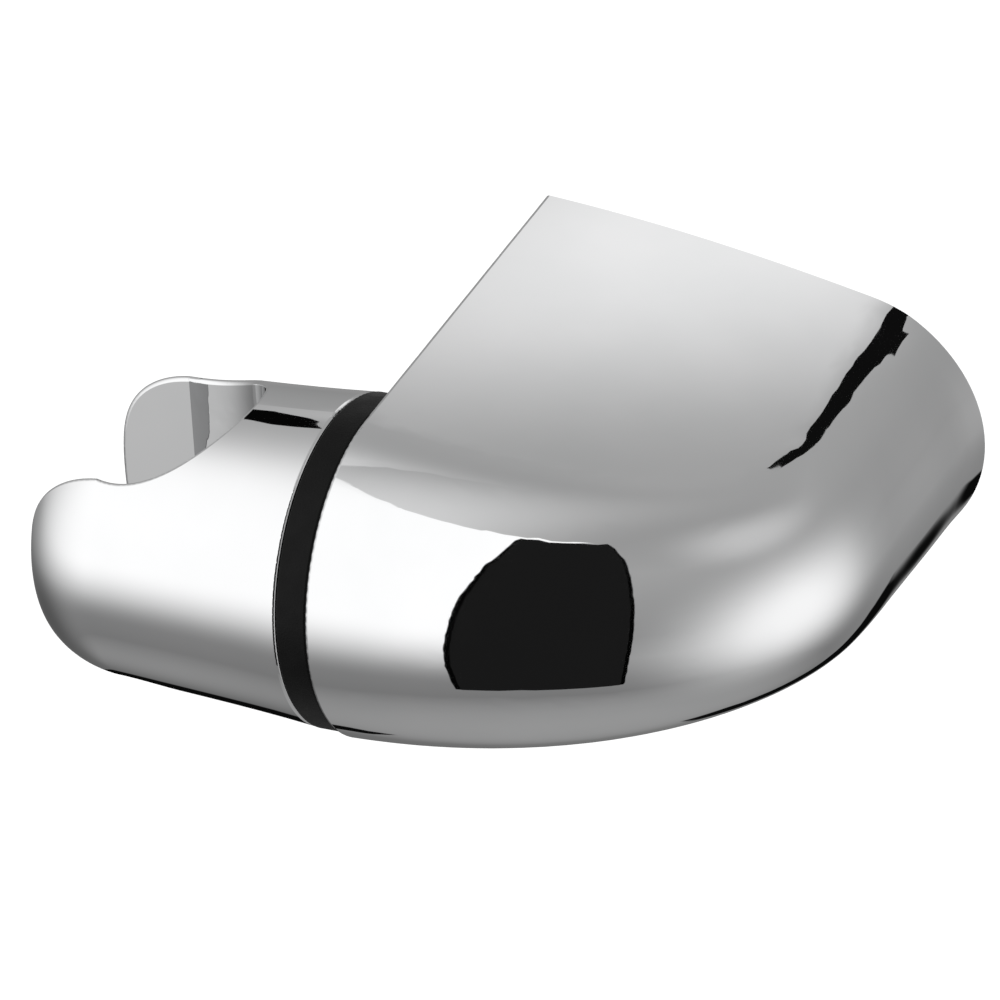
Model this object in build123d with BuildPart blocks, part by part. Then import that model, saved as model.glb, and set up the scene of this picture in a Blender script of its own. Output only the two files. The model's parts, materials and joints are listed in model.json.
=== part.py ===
from build123d import *
from math import atan, cos, hypot, pi, radians, sin, tan
import os

# Wall-mounted holder for a hand shower: a pebble-shaped base on the wall, and a
# conical open cradle that swivels on its left-hand end, with a black ring between.
# Millimetres. The origin is midway between the two wall screws, on the wall's face.
# +X runs along the swivel axis into the base, +Y into the wall, +Z up.

# Where things stand
screws_to_joint = 27.0
axis_to_wall = 48.4

# Base, measured at the joint face unless it says otherwise
joint_radius = 20.0
base_width = 55.2
corner_depth = 37.5
corner_power = 2.1
end_lean = 1.2
top_fall = 0.068
top_crown = 0.00203
top_rise = 0.055
base_wall = 2.6
side_wall = 4.0
joint_edge = 0.5

# Ring between the base and the cradle
ring_width = 3.8
ring_radius = 19.6
ring_edge = 0.3

# Cradle, along the swivel axis from the ring
cradle_length = 34.8
barrel_length = 25.0
cradle_radius = 19.55
barrel_end_radius = 17.9
nose_radius = 11.0
barrel_fall_start = 0.1
barrel_fall_end = 0.06
cradle_edge = 0.4

# Seat for the hose's cone, and the slot that the hose passes through
seat_to_joint = 26.7
seat_mouth_radius = 12.25
seat_taper = 1.5
slot_width = 24.0
rim_edge = 0.45

# Swivel: hub, bush, screw and the springs that hold it at an angle
journal_radius = 7.0
hub_radius = 16.2
hub_thickness = 3.4
bush_radius = 9.0
bush_flange_radius = 12.0
bush_flange = 1.5
boss_radius = 12.0
boss_length = 13.0
spigot_radius = 11.0
spigot_height = 1.4
screw_radius = 3.0
screw_length = 40.0
screw_head_radius = 5.0
screw_head_height = 3.1
screw_socket = 4.0
screw_socket_depth = 2.0
screw_point = 0.6
head_floor = 2.9
cap_thickness = 1.4
cap_depth = 0.25
cap_stem_radius = 1.6
cap_stem_length = 1.6
seal_cord_radius = 0.9
seal_proud = 0.1
seal_to_face = 1.3
washer_radius = 11.5
thrust_thickness = 1.0
spring_thickness = 0.7
spring_cone = 0.5
steel_washer_radius = 11.0
steel_washer_thickness = 1.5
nut_flats = 10.0
nut_bevel = 30.0
nut_height = 5.3
nut_collar_radius = 4.7
nut_collar_height = 2.5
nut_lip = 0.4
nut_insert_radius = 3.9

# Cored-out back of the cradle and the hub's lugs
core_inner_radius = 9.3
core_outer_radius = 15.6
core_depth = 3.6
core_rib = 1.6
lug_radius = 12.2
lug_length = 3.6
lug_width = 4.6
lug_height = 3.0

# Plate on the wall
plate_thickness = 3.0
flange_height = 10.0
flange_thickness = 2.0
wall_screw_spacing = 30.0
wall_screw_hole = 4.6
wall_screw_pad = 6.0
pad_height = 1.5
hook_spacing = 22.0
hook_width = 6.0
hook_depth = 2.5
hook_reach = 1.1
lock_to_wall = 5.6
lock_block = 8.8
lock_block_height = 8.0
lock_screw_radius = 2.0
lock_screw_length = 9.6
lock_socket = 2.0
lock_socket_depth = 2.4
lock_sunk = 0.3
insert_radius = 2.8
insert_length = 6.0

# Webs inside the base
web_thickness = 1.6
web_length = 10.0

# Clearances
running = 0.05
snug = 0.02
seating = 0.2
plate_gap = 0.3
hole_gap = 0.25

# Fan of the base's sections: how far its upright pivot stands outside the base's
# back corner, how far from the pivot a section starts, how many sections there are
# around the corner and along the straight right-hand end, and how many steps bring
# a section's round nose to touch its top
fan_out = 4.0
fan_core = 2.0
corner_sections = 12
end_sections = 5
nose_steps = 12

os.makedirs("parts", exist_ok=True)

joint_x = -screws_to_joint
axis_y = -axis_to_wall
seat_x = joint_x - seat_to_joint
straight_y = axis_y + corner_depth - joint_radius
swivel = Axis((joint_x, axis_y, 0), (1, 0, 0))
axial = Plane(origin=(joint_x, axis_y, 0), x_dir=(1, 0, 0), z_dir=(0, -1, 0))


def across(distance):
    """Plane square to the swivel axis, at this distance into the base from its joint face."""
    return Plane(origin=(joint_x + distance, axis_y, 0), x_dir=(0, 1, 0), z_dir=(1, 0, 0))


def half_height(x, y):
    """Half the base's height: it falls in a curve towards its end and rises towards the wall."""
    into_base = x - joint_x
    return joint_radius - top_fall * into_base - top_crown * into_base ** 2 + top_rise * (y - axis_y)


def rim_stations():
    """Points on the base's widest outline, each with the outline's outward direction."""
    front_y = axis_y - joint_radius
    stations = [((joint_x - fan_out, front_y), (0, -1)), ((joint_x, front_y), (0, -1))]
    for step in range(1, corner_sections + 1):
        turn = step * pi / 2 / corner_sections
        along = sin(turn) ** (2 / corner_power)
        ahead = cos(turn) ** (2 / corner_power)
        point = (joint_x + base_width * along, straight_y - corner_depth * ahead)
        outward = (along ** (corner_power - 1) / base_width, -ahead ** (corner_power - 1) / corner_depth)
        stations.append((point, outward))
    for step in range(1, end_sections + 1):
        part = step / end_sections
        y = straight_y + part * (fan_out - straight_y)
        stations.append(((joint_x + base_width - part * end_lean, y), (1, 0)))
    return stations


def fan_section(point, outward, inset):
    """One upright section of the base: its plane, the curve of its top and that of its nose."""
    pivot_x = joint_x - fan_out
    pivot_y = fan_out
    size = hypot(*outward)
    tip_x = point[0] - inset * outward[0] / size
    tip_y = point[1] - inset * outward[1] / size
    reach = hypot(tip_x - pivot_x, tip_y - pivot_y)
    dir_x = (tip_x - pivot_x) / reach
    dir_y = (tip_y - pivot_y) / reach
    skew = (dir_x * outward[0] + dir_y * outward[1]) / size

    def height(u):
        return half_height(pivot_x + dir_x * u, pivot_y + dir_y * u) - inset

    def slope(u):
        into_base = pivot_x + dir_x * u - joint_x
        return -(top_fall + 2 * top_crown * into_base) * dir_x + top_rise * dir_y

    # The nose is a round that touches the top, stretched where the plane cuts it askew
    radius = joint_radius - inset
    for _ in range(nose_steps):
        centre = reach - radius / skew
        lean = atan(-slope(centre) / skew)
        radius = height(centre) * cos(lean)
    start_u = centre + radius * sin(lean) / skew
    start_z = radius * cos(lean)
    handle = 4 / 3 * tan((pi / 2 - lean) / 4) * radius
    third = (start_u - fan_core) / 3
    top = [
        (fan_core, height(fan_core)),
        (fan_core + third, height(fan_core) + third * slope(fan_core)),
        (start_u - third, start_z - third * slope(centre)),
        (start_u, start_z),
    ]
    nose = [
        (start_u, start_z),
        (start_u + handle * cos(lean) / skew, start_z - handle * sin(lean)),
        (reach, handle),
        (reach, 0),
    ]
    plane = Plane(origin=(pivot_x, pivot_y, 0), x_dir=(dir_x, dir_y, 0), z_dir=(dir_y, -dir_x, 0))
    return plane, top, nose


def lower(curve):
    """The same curve below the middle plane, run the other way."""
    return [(u, -z) for u, z in reversed(curve)]


def pebble(inset, left, front=-2 * axis_to_wall, back=0.0):
    """The base's form drawn in by inset, right of x = left and between y = front and y = back."""
    with BuildPart() as form:
        for point, outward in rim_stations():
            plane, top, nose = fan_section(point, outward, inset)
            with BuildSketch(plane):
                with BuildLine():
                    Bezier(*top)
                    Bezier(*nose)
                    Bezier(*lower(nose))
                    Bezier(*lower(top))
                    Line(lower(top)[-1], top[0])
                make_face()
        loft()
        with BuildSketch(Plane.XY):
            with Locations((left, back)):
                Rectangle(2 * base_width, back - front, align=(Align.MIN, Align.MAX))
        extrude(amount=2 * joint_radius, both=True, mode=Mode.INTERSECT)
    return form.part


# Places along the swivel axis, as distances into the base from its joint face
cradle_face = -(ring_width + running)
hub_back = cradle_face - hub_thickness
seat_growth = cradle_radius * tan(radians(seat_taper))
seat_wall = seat_mouth_radius - seat_growth - seat_to_joint
cap_face = seat_wall + cap_depth
cap_back = cap_face + cap_thickness

# The screw's head lies on the floor over the hub, or deeper if the cap needs the room
head_seat = max(hub_back - head_floor, cap_back + running + screw_head_height)
head_face = head_seat - screw_head_height
seal_place = cradle_face + seal_to_face
thrust_face = boss_length + bush_flange + running
spring_face = thrust_face + thrust_thickness + running
spring_middle = spring_face + spring_cone + spring_thickness
washer_face = spring_middle + spring_cone + spring_thickness + running
nut_face = washer_face + steel_washer_thickness
nut_pocket = nut_face + nut_height
nut_end = nut_pocket + nut_collar_height + nut_lip
journal_end = washer_face - spring_cone
nut_corner = nut_flats / 2 / cos(pi / 6)
bevel_end = nut_face + (nut_corner - nut_flats / 2) * tan(radians(nut_bevel))

# Radii that follow from what runs inside
bush_bore = journal_radius + running
seal_radius = journal_radius + seal_proud
ring_bore = seal_radius + seal_cord_radius + running
screw_bore = screw_radius + running
washer_bore = journal_radius + seating
lug_offset = lug_width / 2 + core_rib / 2 + seating

# Where the plate on the wall meets the base
plate_left = joint_x + side_wall + plate_gap
plate_inset = base_wall + plate_gap
lock_y = -lock_to_wall
underside = -half_height(0, lock_y)
flange_face = underside + base_wall + plate_gap
block_top = flange_face + lock_block_height
insert_face = flange_face + plate_gap
lock_face = underside + lock_sunk
hook_y = hook_depth / 2 - flange_height
hook_places = (-hook_spacing / 2, hook_spacing / 2)


def disc(distance, length, outer, inner):
    """A plain ring on the swivel axis, starting at this distance into the base."""
    with BuildPart() as ring:
        with BuildSketch(across(distance)):
            Circle(outer)
            Circle(inner, mode=Mode.SUBTRACT)
        extrude(amount=length)
    return ring.part


def webs():
    """Crossed webs between the bush's boss and the base's walls."""
    with BuildPart() as cross:
        with BuildSketch(across(side_wall / 2)):
            Rectangle(web_thickness, 3 * joint_radius)
            Rectangle(3 * joint_radius, web_thickness)
        extrude(amount=web_length)
        add(pebble(base_wall / 2, joint_x), mode=Mode.INTERSECT)
    return cross.part


def hook_top(x):
    """Height of a hook's top at this x, inside the base's upper wall."""
    return half_height(x, hook_y) - base_wall + hook_reach


def cone_spring(start, rise):
    """A disc spring on the swivel axis, whose rim lies this far along from its bore."""
    bore_x = start if rise > 0 else start - rise
    rim_x = bore_x + rise
    with BuildPart() as spring:
        with BuildSketch(axial):
            with BuildLine():
                Polyline(
                    (bore_x, washer_bore),
                    (rim_x, washer_radius),
                    (rim_x + spring_thickness, washer_radius),
                    (bore_x + spring_thickness, washer_bore),
                    close=True,
                )
            make_face()
        revolve(axis=swivel)
    return spring.part


# Base housing: one moulding, open at the wall
base_form = pebble(0, joint_x)
base_cavity = pebble(base_wall, joint_x + side_wall)
base_webs = webs()

with BuildPart() as base_housing:
    add(base_form)
    joint_rim = faces().sort_by(Axis.X)[0].edges().sort_by(Axis.Y)[:-1]
    fillet(joint_rim, joint_edge)
    add(base_cavity, mode=Mode.SUBTRACT)
    add(base_webs)
    # Spigot that centres the ring, and boss for the bush
    with BuildSketch(across(-spigot_height)):
        Circle(spigot_radius)
    extrude(amount=spigot_height + side_wall / 2)
    with BuildSketch(across(side_wall / 2)):
        Circle(boss_radius)
    extrude(amount=boss_length - side_wall / 2)
    with BuildSketch(across(-spigot_height)):
        Circle(bush_radius)
    extrude(amount=spigot_height + boss_length, mode=Mode.SUBTRACT)
    # Way in for the lock screw, from below
    with BuildSketch(Plane.XY):
        with Locations((0, lock_y)):
            Circle(lock_screw_radius + hole_gap)
    extrude(amount=-2 * joint_radius, mode=Mode.SUBTRACT)
    # Pockets for the plate's hooks
    for x in hook_places:
        with BuildSketch(Plane.XY.offset(hook_top(x) + seating)):
            with Locations((x, hook_y)):
                Rectangle(hook_width + 2 * seating, hook_depth + 2 * seating)
        extrude(amount=-hook_reach - base_wall, mode=Mode.SUBTRACT)
base_housing.part.label = "base_housing"
export_step(base_housing.part, "parts/base_housing.step")

# Plate that the wall screws hold: a tray that the housing slides over
plate_form = pebble(plate_inset, plate_left, -flange_height)
plate_hollow = pebble(
    plate_inset + flange_thickness,
    plate_left + flange_thickness,
    -2 * flange_height,
    -plate_thickness,
)

with BuildPart() as wall_plate:
    add(plate_form)
    add(plate_hollow, mode=Mode.SUBTRACT)
    with BuildSketch(Plane.XZ.offset(plate_thickness)):
        with Locations((-wall_screw_spacing / 2, 0), (wall_screw_spacing / 2, 0)):
            Circle(wall_screw_pad)
    extrude(amount=pad_height)
    with BuildSketch(Plane.XZ):
        with Locations((-wall_screw_spacing / 2, 0), (wall_screw_spacing / 2, 0)):
            Circle(wall_screw_hole / 2)
    extrude(amount=plate_thickness + pad_height, mode=Mode.SUBTRACT)
    # Block for the threaded insert, on the lower flange
    with BuildSketch(Plane.XY.offset(block_top)):
        with Locations((0, lock_y)):
            Rectangle(lock_block, lock_block)
    extrude(amount=flange_thickness / 2 - lock_block_height)
    with BuildSketch(Plane.XY.offset(insert_face + insert_length)):
        with Locations((0, lock_y)):
            Circle(insert_radius + snug)
    extrude(amount=-2 * insert_length, mode=Mode.SUBTRACT)
    with BuildSketch(Plane.XY.offset(insert_face)):
        with Locations((0, lock_y)):
            Circle(lock_screw_radius + snug)
    extrude(amount=lock_block_height, mode=Mode.SUBTRACT)
    # Hooks on the upper flange
    for x in hook_places:
        with BuildSketch(Plane.XY.offset(hook_top(x))):
            with Locations((x, hook_y)):
                Rectangle(hook_width, hook_depth)
        extrude(amount=-hook_reach - plate_gap - flange_thickness / 2)
wall_plate.part.label = "wall_plate"
export_step(wall_plate.part, "parts/wall_plate.step")

with BuildPart() as lock_insert:
    with BuildSketch(Plane.XY.offset(insert_face)):
        with Locations((0, lock_y)):
            Circle(insert_radius)
            Circle(lock_screw_radius + snug, mode=Mode.SUBTRACT)
    extrude(amount=insert_length)
lock_insert.part.label = "lock_insert"
export_step(lock_insert.part, "parts/lock_insert.step")

# Set screw that holds the housing on the plate, driven from below
with BuildPart() as lock_screw:
    with BuildSketch(Plane.XY.offset(lock_face)):
        with Locations((0, lock_y)):
            Circle(lock_screw_radius)
    extrude(amount=lock_screw_length)
    with BuildSketch(Plane.XY.offset(lock_face)):
        with Locations((0, lock_y)):
            RegularPolygon(lock_socket / 2, 6, major_radius=False)
    extrude(amount=lock_socket_depth, mode=Mode.SUBTRACT)
    chamfer(edges().filter_by(GeomType.CIRCLE).sort_by(Axis.Z)[-1], lock_sunk)
lock_screw.part.label = "lock_screw"
export_step(lock_screw.part, "parts/lock_screw.step")

# Black ring between the base and the cradle
with BuildPart() as friction_ring:
    with BuildSketch(across(-ring_width)):
        Circle(ring_radius)
        Circle(ring_bore, mode=Mode.SUBTRACT)
    extrude(amount=ring_width)
    with BuildSketch(across(0)):
        Circle(spigot_radius + snug)
    extrude(amount=-spigot_height - running, mode=Mode.SUBTRACT)
    outer_edges = edges().filter_by(GeomType.CIRCLE).group_by(SortBy.RADIUS)[-1]
    fillet(outer_edges, ring_edge)
friction_ring.part.label = "friction_ring"
export_step(friction_ring.part, "parts/friction_ring.step")

# Flanged bush that the cradle's journal turns in
with BuildPart() as bearing_bush:
    with BuildSketch(across(-spigot_height)):
        Circle(bush_radius - snug)
    extrude(amount=spigot_height + boss_length)
    with BuildSketch(across(boss_length)):
        Circle(bush_flange_radius)
    extrude(amount=bush_flange)
    with BuildSketch(across(-spigot_height)):
        Circle(bush_bore)
    extrude(amount=spigot_height + boss_length + bush_flange, mode=Mode.SUBTRACT)
bearing_bush.part.label = "bearing_bush"
export_step(bearing_bush.part, "parts/bearing_bush.step")

# Cradle: a turned form with a tapered seat through it and a slot out to its end
round_handle = 4 / 3 * tan(pi / 8)
barrel_x = cradle_face - barrel_length
end_x = cradle_face - cradle_length
barrel_third = barrel_length / 3
nose_handle = round_handle * (cradle_length - barrel_length)
nose_rise = round_handle * (barrel_end_radius - nose_radius)

with BuildPart() as cradle_shell:
    with BuildSketch(axial):
        with BuildLine():
            Line((cradle_face, 0), (cradle_face, cradle_radius))
            Bezier(
                (cradle_face, cradle_radius),
                (cradle_face - barrel_third, cradle_radius - barrel_fall_start * barrel_third),
                (barrel_x + barrel_third, barrel_end_radius + barrel_fall_end * barrel_third),
                (barrel_x, barrel_end_radius),
            )
            Bezier(
                (barrel_x, barrel_end_radius),
                (barrel_x - nose_handle, barrel_end_radius - barrel_fall_end * nose_handle),
                (end_x, nose_radius + nose_rise),
                (end_x, nose_radius),
            )
            Polyline((end_x, nose_radius), (end_x, 0), (cradle_face, 0))
        make_face()
    revolve(axis=swivel)
    fillet(faces().sort_by(Axis.X)[-1].edges(), cradle_edge)
    # Seat and slot, cut with one taper from well above the cradle, and their rounded rim
    with BuildSketch(Plane.XY.offset(2 * cradle_radius)):
        with Locations((seat_x, axis_y)):
            Circle(seat_mouth_radius + seat_growth)
            Rectangle(cradle_length, slot_width + 2 * seat_growth, align=(Align.MAX, Align.CENTER))
    extrude(amount=-4 * cradle_radius, taper=seat_taper, mode=Mode.SUBTRACT)
    rim = edges(Select.LAST) & faces().filter_by(GeomType.REVOLUTION).edges()
    fillet(rim, rim_edge)
    # Recess for the hub, with a cored-out floor behind it
    with BuildSketch(across(cradle_face)):
        Circle(hub_radius + seating)
    extrude(amount=-hub_thickness, mode=Mode.SUBTRACT)
    with BuildSketch(across(hub_back)):
        Circle(core_outer_radius)
        Circle(core_inner_radius, mode=Mode.SUBTRACT)
        Rectangle(core_rib, 3 * core_outer_radius, mode=Mode.SUBTRACT)
        Rectangle(3 * core_outer_radius, core_rib, mode=Mode.SUBTRACT)
    extrude(amount=-core_depth, mode=Mode.SUBTRACT)
    # Way through for the pivot screw, and its head's recess in the seat's wall
    with BuildSketch(across(hub_back)):
        Circle(screw_bore)
    extrude(amount=-head_floor, mode=Mode.SUBTRACT)
    with BuildSketch(across(head_seat)):
        Circle(screw_head_radius + hole_gap)
    extrude(amount=-seat_mouth_radius, mode=Mode.SUBTRACT)
cradle_shell.part.label = "cradle_shell"
export_step(cradle_shell.part, "parts/cradle_shell.step")

# Hub: closes the cradle's back, keys into it and carries the journal
with BuildPart() as pivot_hub:
    with BuildSketch(across(hub_back)):
        Circle(hub_radius)
    extrude(amount=hub_thickness)
    with BuildSketch(across(cradle_face)):
        Circle(journal_radius)
    extrude(amount=journal_end - cradle_face)
    with BuildSketch(across(hub_back)):
        with PolarLocations(0, 2):
            with Locations((lug_radius, -lug_offset), (lug_radius, lug_offset)):
                Rectangle(lug_length, lug_width)
    extrude(amount=-lug_height)
    with BuildSketch(axial):
        with Locations((seal_place, seal_radius)):
            Rectangle(2 * (seal_cord_radius + snug), 2 * (seal_cord_radius + snug))
    revolve(axis=swivel, mode=Mode.SUBTRACT)
    with BuildSketch(across(hub_back)):
        Circle(screw_bore)
    extrude(amount=journal_end - hub_back, mode=Mode.SUBTRACT)
pivot_hub.part.label = "pivot_hub"
export_step(pivot_hub.part, "parts/pivot_hub.step")

with BuildPart() as o_ring:
    with BuildSketch(axial):
        with Locations((seal_place, seal_radius)):
            Circle(seal_cord_radius)
    revolve(axis=swivel)
o_ring.part.label = "o_ring"
export_step(o_ring.part, "parts/o_ring.step")

# Screw along the swivel axis, driven through the slot
with BuildPart() as pivot_screw:
    with BuildSketch(across(head_seat)):
        Circle(screw_head_radius)
    extrude(amount=-screw_head_height)
    with BuildSketch(across(head_seat)):
        Circle(screw_radius)
    extrude(amount=screw_length)
    with BuildSketch(across(head_face)):
        RegularPolygon(screw_socket / 2, 6, major_radius=False)
    extrude(amount=screw_socket_depth, mode=Mode.SUBTRACT)
    chamfer(edges().filter_by(GeomType.CIRCLE).sort_by(Axis.X)[-1], screw_point)
pivot_screw.part.label = "pivot_screw"
export_step(pivot_screw.part, "parts/pivot_screw.step")

# Cap over the screw's head, held by its stem in the socket
with BuildPart() as screw_cap:
    with BuildSketch(across(cap_face)):
        Circle(screw_head_radius + hole_gap - running)
    extrude(amount=cap_thickness)
    with BuildSketch(across(cap_back)):
        Circle(cap_stem_radius)
    extrude(amount=cap_stem_length)
screw_cap.part.label = "screw_cap"
export_step(screw_cap.part, "parts/screw_cap.step")

# Washers and springs between the bush and the nut
thrust_washer = disc(thrust_face, thrust_thickness, washer_radius, washer_bore)
thrust_washer.label = "thrust_washer"
export_step(thrust_washer, "parts/thrust_washer.step")

disc_spring_inner = cone_spring(spring_face, -spring_cone)
disc_spring_inner.label = "disc_spring_inner"
export_step(disc_spring_inner, "parts/disc_spring_inner.step")

disc_spring_outer = cone_spring(spring_middle, spring_cone)
disc_spring_outer.label = "disc_spring_outer"
export_step(disc_spring_outer, "parts/disc_spring_outer.step")

steel_washer = disc(washer_face, steel_washer_thickness, steel_washer_radius, screw_bore)
steel_washer.label = "steel_washer"
export_step(steel_washer, "parts/steel_washer.step")

# Nut with a nylon ring in its collar
with BuildPart() as lock_nut:
    with BuildSketch(across(nut_face)):
        RegularPolygon(nut_flats / 2, 6, major_radius=False)
    extrude(amount=nut_height)
    # Bevelled corners on the side that turns against the washer
    with BuildSketch(axial):
        with BuildLine():
            Polyline(
                (nut_face, 0),
                (nut_face, nut_flats / 2),
                (bevel_end, nut_corner),
                (nut_pocket, nut_corner),
                (nut_pocket, 0),
                close=True,
            )
        make_face()
    revolve(axis=swivel, mode=Mode.INTERSECT)
    with BuildSketch(across(nut_pocket)):
        Circle(nut_collar_radius)
    extrude(amount=nut_end - nut_pocket)
    with BuildSketch(across(nut_pocket)):
        Circle(nut_insert_radius + snug)
    extrude(amount=nut_collar_height, mode=Mode.SUBTRACT)
    with BuildSketch(across(nut_face)):
        Circle(screw_bore)
    extrude(amount=nut_end - nut_face, mode=Mode.SUBTRACT)
lock_nut.part.label = "lock_nut"
export_step(lock_nut.part, "parts/lock_nut.step")

nut_insert = disc(nut_pocket, nut_collar_height - snug, nut_insert_radius, screw_bore)
nut_insert.label = "nut_insert"
export_step(nut_insert, "parts/nut_insert.step")
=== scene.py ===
import json
import math

import bpy
from mathutils import Matrix, Vector


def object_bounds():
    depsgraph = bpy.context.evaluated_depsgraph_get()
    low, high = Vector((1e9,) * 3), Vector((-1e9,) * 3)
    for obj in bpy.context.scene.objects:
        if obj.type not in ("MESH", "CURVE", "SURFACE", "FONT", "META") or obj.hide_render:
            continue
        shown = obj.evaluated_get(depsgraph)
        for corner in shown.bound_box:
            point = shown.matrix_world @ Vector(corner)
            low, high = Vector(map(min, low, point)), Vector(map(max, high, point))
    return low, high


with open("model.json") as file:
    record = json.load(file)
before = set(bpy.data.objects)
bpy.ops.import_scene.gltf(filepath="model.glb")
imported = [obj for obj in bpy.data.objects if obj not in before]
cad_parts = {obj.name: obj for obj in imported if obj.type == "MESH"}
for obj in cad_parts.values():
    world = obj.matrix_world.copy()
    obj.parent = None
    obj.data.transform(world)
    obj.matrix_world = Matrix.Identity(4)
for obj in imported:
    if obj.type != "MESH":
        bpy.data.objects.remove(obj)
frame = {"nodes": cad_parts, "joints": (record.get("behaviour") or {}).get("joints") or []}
cad_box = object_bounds()

# Camera, fitted to the photograph. Angles are in degrees, the lens and the sensor in millimetres
image_size = 1000
camera_azimuth = 27.534
camera_elevation = 30.249
camera_roll = -4.563
sensor_width = 36.0
lens = 720.0
nearest_seen = 0.1
farthest_seen = 50.0
pixels_per_metre = 8731.5
joint_pixel = (380.215, 565.167)
joint_place = Vector(frame["joints"][0]["pos_m"])

# Studio, in metres and degrees. Azimuth 0 is straight out of the wall and 90 is along +X
studio_centre = Vector((-0.020, -0.035, 0.0))
dome_radius = 2.0
halo_radius = 1.95
shade_radius = 1.92
panel_radius = 1.8
upper_radius = 1.78
rim_radius = 1.62
flag_radius = 1.6
strip_radius = 0.14
band_radius = 0.13
stripe_radius = 0.12

# Fineness of the studio's meshes
dome_segments = 64
dome_rings = 32
sheet_columns = 16
sheet_rows = 96
glow_rings = 48
glow_spokes = 72

# Floor, world and lamp
floor_drop = 0.25
floor_size = 9.0
floor_dark = (0.79, 0.79, 0.79)
floor_pale = (0.81, 0.81, 0.81)
floor_wander = 12.0
floor_lift = 0.3
world_level = 0.85
lamp_level = 0.6
lamp_spread = 25.0
lamp_azimuth = -25.0
lamp_elevation = 60.0

# Shaders. The noise texture stays mostly between its low and its high
white = (1.0, 1.0, 1.0, 1.0)
noise_low = 0.3
noise_high = 0.7
noise_detail = 3.0
grain_strength = 0.5
evenly = (1.0, 1.0, 1.0)

# Soft edges of a sheet: left, right, bottom and top, as shares of its size
sharp_edges = (0.0, 0.0, 0.0, 0.0)
sharpest_edge = 0.001


# Node building

def feed(tree, value, socket):
    """Links an input to another node's output, or sets it to a value."""
    if isinstance(value, bpy.types.NodeSocket):
        tree.links.new(value, socket)
    else:
        socket.default_value = value


def add_node(tree, kind, settings=None, **inputs):
    """One node with its settings. Each input is a value or another node's output."""
    node = tree.nodes.new(kind)
    for key, value in (settings or {}).items():
        setattr(node, key, value)
    for key, value in inputs.items():
        feed(tree, value, node.inputs[key.replace("_", " ")])
    return node


def calculate(tree, operation, first, second):
    """The result of a sum with two numbers."""
    node = add_node(tree, "ShaderNodeMath", {"operation": operation})
    feed(tree, first, node.inputs[0])
    feed(tree, second, node.inputs[1])
    return node.outputs[0]


def blend(tree, share, first, second):
    """The first shader where share is 0 and the second where it is 1."""
    node = add_node(tree, "ShaderNodeMixShader", Fac=share)
    tree.links.new(first, node.inputs[1])
    tree.links.new(second, node.inputs[2])
    return node.outputs[0]


def new_material(name):
    """A material without nodes as yet, and its node tree."""
    material = bpy.data.materials.new(name)
    material.use_nodes = True
    tree = material.node_tree
    tree.nodes.clear()
    return material, tree


# Materials of the part

def noise_between(tree, scale, low, high, stretch=evenly):
    """A value that wanders between low and high, scale times per metre."""
    place = add_node(tree, "ShaderNodeTexCoord").outputs["Object"]
    mapping = add_node(tree, "ShaderNodeMapping", Vector=place, Scale=stretch)
    noise = add_node(tree, "ShaderNodeTexNoise", Vector=mapping.outputs[0], Scale=scale, Detail=noise_detail)
    spread = add_node(tree, "ShaderNodeMapRange", Value=noise.outputs[0], From_Min=noise_low,
                      From_Max=noise_high, To_Min=low, To_Max=high)
    return spread.outputs[0]


def shade_between(tree, share, dark, pale):
    """A colour between dark and pale. Inputs 6 and 7 and output 2 are the mix node's colours."""
    mix = add_node(tree, "ShaderNodeMix", {"data_type": "RGBA"}, Factor=share)
    mix.inputs[6].default_value = (*dark, 1.0)
    mix.inputs[7].default_value = (*pale, 1.0)
    return mix.outputs[2]


def surface(name, dark, pale, colour_scale, smooth, rough, rough_scale, metallic=0.0, specular=0.5,
            grain=0.0, grain_scale=4000.0, grain_stretch=evenly):
    """A material whose colour and roughness wander a little, with a grain that many metres deep."""
    material, tree = new_material(name)
    colour = shade_between(tree, noise_between(tree, colour_scale, 0.0, 1.0), dark, pale)
    roughness = noise_between(tree, rough_scale, smooth, rough, grain_stretch)
    shader = add_node(tree, "ShaderNodeBsdfPrincipled", Base_Color=colour, Roughness=roughness,
                      Metallic=metallic, Specular_IOR_Level=specular)
    if grain > 0.0:
        height = noise_between(tree, grain_scale, 0.0, 1.0, grain_stretch)
        bump = add_node(tree, "ShaderNodeBump", Height=height, Strength=grain_strength, Distance=grain)
        tree.links.new(bump.outputs[0], shader.inputs["Normal"])
    add_node(tree, "ShaderNodeOutputMaterial", Surface=shader.outputs[0])
    return material


chrome = surface(
    "chrome", dark=(0.88, 0.885, 0.89), pale=(0.92, 0.92, 0.925), colour_scale=60.0,
    smooth=0.015, rough=0.03, rough_scale=45.0, metallic=1.0)
satin_black = surface(
    "satin_black", dark=(0.003, 0.003, 0.003), pale=(0.005, 0.005, 0.005), colour_scale=300.0,
    smooth=0.30, rough=0.42, rough_scale=500.0, specular=0.12, grain=0.00003)
moulded_black = surface(
    "moulded_black", dark=(0.010, 0.010, 0.010), pale=(0.018, 0.018, 0.018), colour_scale=250.0,
    smooth=0.40, rough=0.55, rough_scale=400.0, specular=0.35, grain=0.00004)
moulded_grey = surface(
    "moulded_grey", dark=(0.60, 0.60, 0.59), pale=(0.66, 0.66, 0.65), colour_scale=120.0,
    smooth=0.42, rough=0.58, rough_scale=300.0, specular=0.4, grain=0.00005, grain_scale=2500.0)
white_acetal = surface(
    "white_acetal", dark=(0.78, 0.78, 0.76), pale=(0.84, 0.84, 0.82), colour_scale=200.0,
    smooth=0.28, rough=0.38, rough_scale=400.0, grain=0.00001)
rubber = surface(
    "rubber", dark=(0.010, 0.010, 0.010), pale=(0.020, 0.020, 0.020), colour_scale=400.0,
    smooth=0.6, rough=0.8, rough_scale=700.0, specular=0.3, grain=0.00003)
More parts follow.
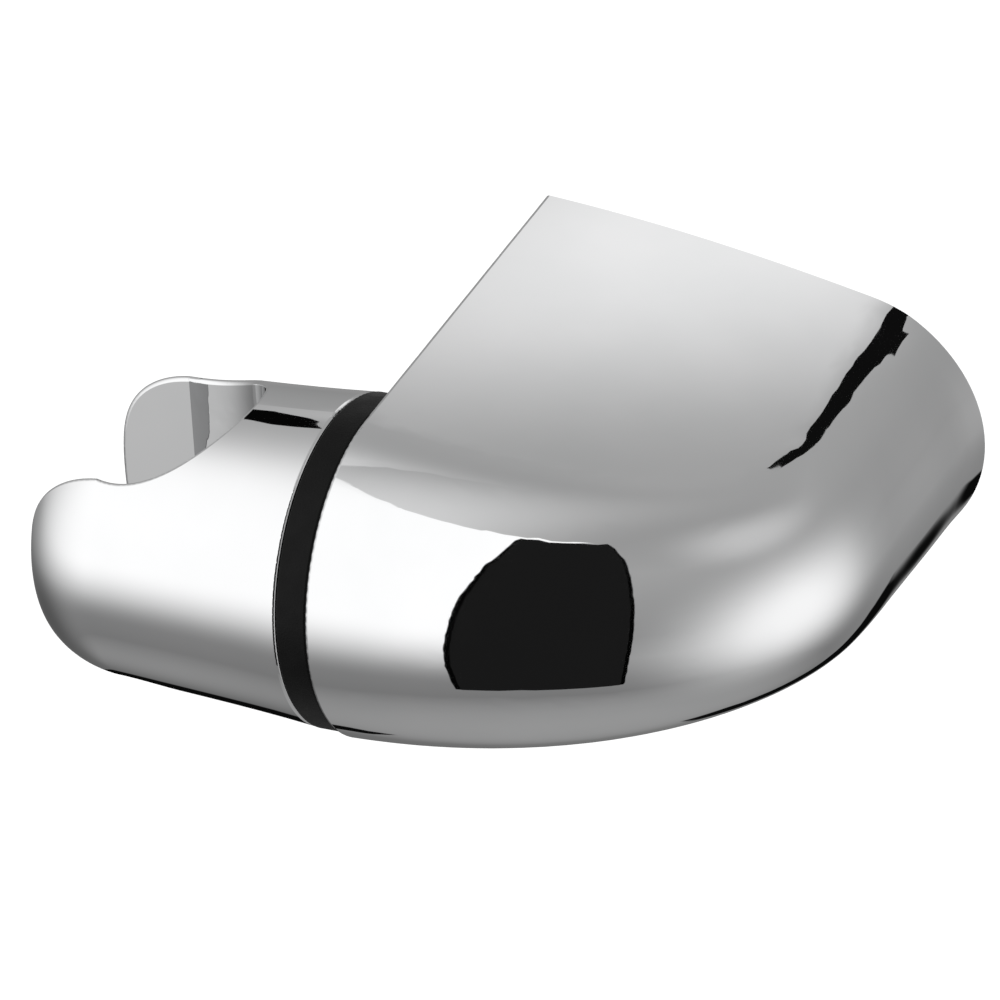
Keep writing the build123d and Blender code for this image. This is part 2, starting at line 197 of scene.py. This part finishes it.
stainless = surface(
    "stainless", dark=(0.50, 0.50, 0.50), pale=(0.62, 0.62, 0.62), colour_scale=500.0,
    smooth=0.22, rough=0.38, rough_scale=900.0, metallic=1.0, grain=0.00001, grain_stretch=(6.0, 1.0, 1.0))
spring_steel = surface(
    "spring_steel", dark=(0.30, 0.30, 0.31), pale=(0.42, 0.42, 0.43), colour_scale=350.0,
    smooth=0.25, rough=0.42, rough_scale=600.0, metallic=1.0, grain=0.00001)
brass = surface(
    "brass", dark=(0.68, 0.48, 0.20), pale=(0.78, 0.58, 0.28), colour_scale=350.0,
    smooth=0.20, rough=0.34, rough_scale=900.0, metallic=1.0, grain=0.00001, grain_stretch=(1.0, 1.0, 8.0))
blue_nylon = surface(
    "blue_nylon", dark=(0.05, 0.14, 0.42), pale=(0.08, 0.19, 0.52), colour_scale=300.0,
    smooth=0.35, rough=0.48, rough_scale=500.0, grain=0.00002)

finishes = {
    "base_housing": chrome,
    "cradle_shell": chrome,
    "screw_cap": chrome,
    "friction_ring": satin_black,
    "pivot_hub": moulded_black,
    "wall_plate": moulded_grey,
    "bearing_bush": white_acetal,
    "thrust_washer": white_acetal,
    "o_ring": rubber,
    "lock_insert": brass,
    "lock_screw": stainless,
    "pivot_screw": stainless,
    "steel_washer": stainless,
    "lock_nut": stainless,
    "disc_spring_inner": spring_steel,
    "disc_spring_outer": spring_steel,
    "nut_insert": blue_nylon,
}

for node_name, finish in finishes.items():
    mesh = frame["nodes"][node_name].data
    mesh.materials.clear()
    mesh.materials.append(finish)


# Smooth normals on the plated pieces

def vector_math(tree, operation, first, second=None):
    """The result of a sum with one or two vectors."""
    node = add_node(tree, "ShaderNodeVectorMath", {"operation": operation})
    feed(tree, first, node.inputs[0])
    if second is not None:
        feed(tree, second, node.inputs[1])
    return node.outputs["Value" if operation == "DOT_PRODUCT" else "Vector"]


def scaled(tree, vector, factor):
    """A vector times a number."""
    node = add_node(tree, "ShaderNodeVectorMath", {"operation": "SCALE"}, Vector=vector, Scale=factor)
    return node.outputs[0]


def point_beside(tree, offset):
    """The point at the corner that lies offset corners further round the face: its index and its place,
    in millimetres."""
    millimetres_per_metre = 1000.0
    corner = add_node(tree, "GeometryNodeInputIndex").outputs[0]
    position = add_node(tree, "GeometryNodeInputPosition").outputs[0]
    beside = add_node(tree, "GeometryNodeOffsetCornerInFace", Corner_Index=corner, Offset=offset).outputs[0]
    point = add_node(tree, "GeometryNodeVertexOfCorner", Corner_Index=beside).outputs[0]
    place = add_node(tree, "GeometryNodeFieldAtIndex", {"data_type": "FLOAT_VECTOR", "domain": "POINT"},
                     Value=position, Index=point).outputs[0]
    return point, scaled(tree, place, millimetres_per_metre)


def smooth_normals():
    """Geometry nodes that set the normals and move no vertex. A corner's share of its point's normal is
    weighted by the lengths of its two sides, which follows a curved face more closely than its angle."""
    tree = bpy.data.node_groups.new("smooth_normals", "GeometryNodeTree")
    tree.interface.new_socket("Geometry", in_out="INPUT", socket_type="NodeSocketGeometry")
    tree.interface.new_socket("Geometry", in_out="OUTPUT", socket_type="NodeSocketGeometry")
    tree.is_modifier = True
    here, place = point_beside(tree, 0)
    ahead = vector_math(tree, "SUBTRACT", point_beside(tree, 1)[1], place)
    behind = vector_math(tree, "SUBTRACT", point_beside(tree, -1)[1], place)
    ahead_squared = vector_math(tree, "DOT_PRODUCT", ahead, ahead)
    behind_squared = vector_math(tree, "DOT_PRODUCT", behind, behind)
    share = calculate(tree, "DIVIDE", 1.0, calculate(tree, "MULTIPLY", ahead_squared, behind_squared))
    weighted = scaled(tree, vector_math(tree, "CROSS_PRODUCT", ahead, behind), share)
    gather = add_node(tree, "GeometryNodeAccumulateField", {"data_type": "FLOAT_VECTOR", "domain": "CORNER"},
                      Value=weighted, Group_ID=here)
    normal = vector_math(tree, "NORMALIZE", gather.outputs["Total"])
    source = add_node(tree, "NodeGroupInput")
    setter = add_node(tree, "GeometryNodeSetMeshNormal", {"mode": "FREE", "domain": "CORNER"},
                      Mesh=source.outputs[0], Custom_Normal=normal)
    add_node(tree, "NodeGroupOutput", Geometry=setter.outputs[0])
    return tree


normals_tree = smooth_normals()
for node_name, finish in finishes.items():
    if finish == chrome:
        modifier = frame["nodes"][node_name].modifiers.new("smooth_normals", "NODES")
        modifier.node_group = normals_tree


# Studio forms: a dome, pale panels and dark flags, which only reflections see

def grey(level):
    """The colour of a grey that shows as level out of 255, by the sRGB curve."""
    share = level / 255.0
    value = ((share + 0.055) / 1.055) ** 2.4 if share > 0.04045 else share / 12.92
    return (value, value, value, 1.0)


def direction(azimuth, elevation):
    """A unit vector at an azimuth and elevation in degrees."""
    a = math.radians(azimuth)
    e = math.radians(elevation)
    return Vector((math.sin(a) * math.cos(e), -math.cos(a) * math.cos(e), math.sin(e)))


def only_reflected(thing):
    """Reflections see it. The camera, the floor's light and the shadows don't."""
    thing.visible_camera = False
    thing.visible_diffuse = False
    thing.visible_shadow = False
    thing.visible_transmission = False


def soft_edge(tree, along, width):
    """Rises from 0 at along = 0 to 1 at along = width."""
    rise = add_node(tree, "ShaderNodeMapRange", {"interpolation_type": "SMOOTHERSTEP"}, Value=along,
                    From_Min=0.0, From_Max=max(width, sharpest_edge))
    return rise.outputs[0]


def panel_material(name, level, edges):
    """A glow that fades out at the sheet's edges."""
    material, tree = new_material(name)
    left, right, bottom, top = edges
    place = add_node(tree, "ShaderNodeSeparateXYZ", Vector=add_node(tree, "ShaderNodeUVMap").outputs[0])
    fades = []
    for axis, first, last in (("X", left, right), ("Y", bottom, top)):
        along = place.outputs[axis]
        fades.append(soft_edge(tree, along, first))
        fades.append(soft_edge(tree, calculate(tree, "SUBTRACT", 1.0, along), last))
    cover = fades[0]
    for fade in fades[1:]:
        cover = calculate(tree, "MULTIPLY", cover, fade)
    clear = add_node(tree, "ShaderNodeBsdfTransparent").outputs[0]
    light = add_node(tree, "ShaderNodeEmission", Color=grey(level)).outputs[0]
    add_node(tree, "ShaderNodeOutputMaterial", Surface=blend(tree, cover, clear, light))
    return material


def grid_faces(rows, columns):
    """Faces of a grid with rows by columns cells."""
    faces = []
    for row in range(rows):
        for column in range(columns):
            corner = row * (columns + 1) + column
            faces.append((corner, corner + 1, corner + columns + 2, corner + columns + 1))
    return faces


def stage_mesh(name, level, points, faces, uvs, edges):
    """A glowing mesh of the studio, from its points, its faces and each point's place on the sheet."""
    mesh = bpy.data.meshes.new(name)
    mesh.from_pydata(points, [], faces)
    sheet_uv = mesh.uv_layers.new(name="sheet")
    for loop in mesh.loops:
        sheet_uv.data[loop.index].uv = uvs[loop.vertex_index]
    mesh.materials.append(panel_material(name, level, edges))
    thing = bpy.data.objects.new(name, mesh)
    bpy.context.scene.collection.objects.link(thing)
    only_reflected(thing)


def azimuth_at(side, elevation):
    """The azimuth of a side, which is a row of (elevation, azimuth) points from below upward."""
    for (low, first), (high, second) in zip(side, side[1:]):
        if elevation <= high:
            return first + (second - first) * (elevation - low) / (high - low)
    return side[-1][1]


def sheet(name, level, left, right, edges=sharp_edges, radius=panel_radius):
    """A sheet bent round the studio between a left and a right side."""
    bottom = left[0][0]
    top = left[-1][0]
    points = []
    uvs = []
    for row in range(sheet_rows + 1):
        elevation = bottom + (top - bottom) * row / sheet_rows
        first = azimuth_at(left, elevation)
        last = azimuth_at(right, elevation)
        for column in range(sheet_columns + 1):
            azimuth = first + (last - first) * column / sheet_columns
            points.append(studio_centre + radius * direction(azimuth, elevation))
            uvs.append((column / sheet_columns, row / sheet_rows))
    stage_mesh(name, level, points, grid_faces(sheet_rows, sheet_columns), uvs, edges)


def glow(name, level, centre, reach, turn=0.0, radius=panel_radius):
    """An oval that fades from its centre, at an azimuth and elevation, to its rim. Reach is its half
    width and half height, and turn leans it. Its left edge is the rim, so that edge's fade is all of it."""
    azimuth, elevation = centre
    half_width = math.radians(reach[0])
    half_height = math.radians(reach[1])
    lean = math.radians(turn)
    middle = direction(azimuth, elevation)
    sideways = direction(azimuth + 90.0, 0.0)
    upward = direction(azimuth, elevation + 90.0)
    across = math.cos(lean) * sideways + math.sin(lean) * upward
    along = -math.sin(lean) * sideways + math.cos(lean) * upward
    centre_u = 0.5
    nearly_nothing = 1e-9
    points = []
    uvs = []
    for ring in range(glow_rings + 1):
        share = ring / glow_rings
        for spoke in range(glow_spokes + 1):
            angle = 2 * math.pi * spoke / glow_spokes
            far_across = half_width * math.cos(angle) * share
            far_along = half_height * math.sin(angle) * share
            far = math.hypot(far_across, far_along)
            outward = (far_across * across + far_along * along) / max(far, nearly_nothing)
            points.append(studio_centre + radius * (math.cos(far) * middle + math.sin(far) * outward))
            uvs.append((centre_u * (1 - share), 0.5))
    stage_mesh(name, level, points, grid_faces(glow_rings, glow_spokes), uvs, (centre_u, 0.0, 0.0, 0.0))


def dome(levels):
    """The grey tent behind all the panels. Levels are rows of a share of the height and the level there."""
    material, tree = new_material("dome")
    place = add_node(tree, "ShaderNodeTexCoord").outputs["Object"]
    height = add_node(tree, "ShaderNodeSeparateXYZ", Vector=place).outputs["Z"]
    spread = add_node(tree, "ShaderNodeMapRange", Value=height, From_Min=-dome_radius, From_Max=dome_radius)
    ramp = add_node(tree, "ShaderNodeValToRGB", Fac=spread.outputs[0])
    elements = ramp.color_ramp.elements
    elements.remove(elements[1])
    for index, (share, level) in enumerate(levels):
        element = elements[0] if index == 0 else elements.new(share)
        element.position = share
        element.color = grey(level)
    light = add_node(tree, "ShaderNodeEmission", Color=ramp.outputs[0])
    add_node(tree, "ShaderNodeOutputMaterial", Surface=light.outputs[0])
    bpy.ops.mesh.primitive_uv_sphere_add(
        segments=dome_segments, ring_count=dome_rings, radius=dome_radius, location=studio_centre)
    thing = bpy.context.object
    thing.name = "dome"
    thing.data.materials.append(material)
    only_reflected(thing)


# Dome and panels
dome(levels=((0.0, 155), (0.03, 150), (0.06, 141), (0.1, 123), (0.17, 130), (0.3, 151), (0.45, 144),
             (0.6, 153), (0.85, 165), (1.0, 154)))
key_left = ((-44, -97), (69.8, -180))
key_right = ((-44, 2), (68.5, 14), (68.7, 46), (69.8, 46))
key_edges = (0.78, 0.0, 0.40, 0.006)
glow("halo", level=220, centre=(-33, 55), reach=(34, 77), turn=12, radius=halo_radius)
glow("left_shade", level=86, centre=(-115, -40), reach=(60, 29), radius=shade_radius)
sheet("key_softbox", level=266, left=key_left, right=key_right, edges=key_edges)
glow("side_glow", level=255, centre=(90.5, -16), reach=(66, 64), turn=20)
glow("upper_glow", level=198, centre=(101, 49.5), reach=(34, 23), turn=-10, radius=upper_radius)
glow("back_strip", level=243, centre=(185.7, 38.6), reach=(45, 15.6), turn=10.7, radius=strip_radius)

# Dark window on the base's front, with a rim that is darker still
window_left = ((-46.8, -7.5), (-36, -5.6), (-18, -3.7), (0, -1.8), (22, 0.1), (45, 3.2), (60, 6.8),
               (66.5, 8.3), (68.6, 10.2))
window_right = ((-46.8, 32.7), (-25, 33.5), (0, 35.5), (27, 38.4), (46, 41.9), (58, 45.5), (68.6, 48.8))
rim_width = 1.1
rim_height = 0.2
inner_left = [(elevation - rim_height, azimuth + rim_width) for elevation, azimuth in window_left]
inner_right = [(elevation - rim_height, azimuth - rim_width) for elevation, azimuth in window_right]
sheet("front_flag_rim", level=4, left=window_left, right=window_right, radius=rim_radius)
sheet("front_flag", level=26, left=inner_left, right=inner_right, radius=flag_radius)

# Dark stripe on the base's right and band on the cradle's back
stripe_left = ((27.6, 143.4), (30, 145.5), (35, 146), (39, 146), (42.2, 148.3), (45.7, 150), (48.2, 152.7))
stripe_right = ((27.6, 145.6), (31, 149.8), (34.3, 153.2), (38.5, 154.4), (41.5, 155.7), (44.5, 156.4),
                (48.2, 160.4))
band_left = ((38, 227.5), (41, 228.4), (43, 229.8), (45, 232.2), (47.8, 235.5))
band_right = ((38, 229.3), (41, 231.8), (43, 234.4), (45, 236.8), (47.8, 238.8))
sheet("stripe_flag", level=14, left=stripe_left, right=stripe_right, radius=stripe_radius)
sheet("band_flag", level=6, left=band_left, right=band_right, radius=band_radius)

# Dark lines along the bottom
low_left = ((-63, 187), (-58, 184), (-52, 180), (-46, 172), (-40, 168), (-35.5, 168))
low_right = ((-63, 194), (-58, 197), (-52, 200), (-35.5, 199))
arm_left = ((-53, 224), (-46, 217.5), (-40, 213.4), (-36.5, 211.5))
arm_right = ((-53, 229), (-46, 222.5), (-40, 217.5), (-36.5, 215.5))
foot_left = ((-62.5, 229), (-57, 225))
foot_right = ((-62.5, 238), (-57, 229))
line_edges = (0.1, 0.1, 0.1, 0.1)
foot_edges = (0.05, 0.05, 0.1, 0.1)
sheet("low_flag", level=10, left=low_left, right=low_right, edges=line_edges, radius=flag_radius)
sheet("arm_flag", level=10, left=arm_left, right=arm_right, edges=line_edges, radius=flag_radius)
sheet("foot_flag", level=10, left=foot_left, right=foot_right, edges=foot_edges, radius=flag_radius)


# Floor, world and lamp

def pale_floor():
    """A plain floor well below the part, which hangs on a wall. Only the camera sees its lift to white."""
    material, tree = new_material("floor")
    colour = shade_between(tree, noise_between(tree, floor_wander, 0.0, 1.0), floor_dark, floor_pale)
    paint = add_node(tree, "ShaderNodeBsdfDiffuse", Color=colour)
    path = add_node(tree, "ShaderNodeLightPath")
    lift = calculate(tree, "MULTIPLY", path.outputs["Is Camera Ray"], floor_lift)
    light = add_node(tree, "ShaderNodeEmission", Color=white, Strength=lift)
    both = add_node(tree, "ShaderNodeAddShader")
    tree.links.new(paint.outputs[0], both.inputs[0])
    tree.links.new(light.outputs[0], both.inputs[1])
    add_node(tree, "ShaderNodeOutputMaterial", Surface=both.outputs[0])
    floor_height = cad_box[0][2] - floor_drop
    bpy.ops.mesh.primitive_plane_add(size=floor_size, location=(0.0, 0.0, floor_height))
    thing = bpy.context.object
    thing.name = "floor"
    thing.data.materials.append(material)
    thing.visible_glossy = False


def white_world():
    """White for the camera, for gloss and for glass, and a plain level for light."""
    world = bpy.data.worlds.new("studio")
    world.use_nodes = True
    tree = world.node_tree
    tree.nodes.clear()
    path = add_node(tree, "ShaderNodeLightPath")
    seen = path.outputs["Is Camera Ray"]
    for ray in ("Is Glossy Ray", "Is Transmission Ray"):
        seen = calculate(tree, "MAXIMUM", seen, path.outputs[ray])
    light = add_node(tree, "ShaderNodeBackground", Color=white, Strength=world_level)
    backdrop = add_node(tree, "ShaderNodeBackground", Color=white, Strength=1.0)
    both = blend(tree, seen, light.outputs[0], backdrop.outputs[0])
    add_node(tree, "ShaderNodeOutputWorld", Surface=both)
    bpy.context.scene.world = world


def soft_lamp():
    """A large lamp above the front gives the floor its shadow."""
    lamp = bpy.data.lights.new("top_lamp", "SUN")
    lamp.energy = lamp_level
    lamp.angle = math.radians(lamp_spread)
    thing = bpy.data.objects.new("top_lamp", lamp)
    thing.rotation_euler = direction(lamp_azimuth, lamp_elevation).to_track_quat("Z", "Y").to_euler()
    thing.visible_glossy = False
    bpy.context.scene.collection.objects.link(thing)


pale_floor()
white_world()
soft_lamp()


# Camera

def place_camera():
    """Puts the camera where the joint falls on its pixel, at the photograph's scale and roll."""
    roll = math.radians(camera_roll)
    forward = -direction(camera_azimuth, camera_elevation)
    level_right = direction(camera_azimuth + 90.0, 0.0)
    level_down = forward.cross(level_right)
    right = math.cos(roll) * level_right - math.sin(roll) * level_down
    down = math.sin(roll) * level_right + math.cos(roll) * level_down
    focal_pixels = lens / sensor_width * image_size
    distance = focal_pixels / pixels_per_metre
    across = (joint_pixel[0] - image_size / 2) / pixels_per_metre
    below = (joint_pixel[1] - image_size / 2) / pixels_per_metre
    place = joint_place - across * right - below * down - distance * forward
    camera = bpy.data.cameras.new("camera")
    camera.lens = lens
    camera.sensor_width = sensor_width
    camera.clip_start = nearest_seen
    camera.clip_end = farthest_seen
    thing = bpy.data.objects.new("camera", camera)
    turn = Matrix((right, -down, -forward)).transposed().to_4x4()
    thing.matrix_world = Matrix.Translation(place) @ turn
    bpy.context.scene.collection.objects.link(thing)
    bpy.context.scene.camera = thing


place_camera()
bpy.context.scene.view_settings.view_transform = "Standard"
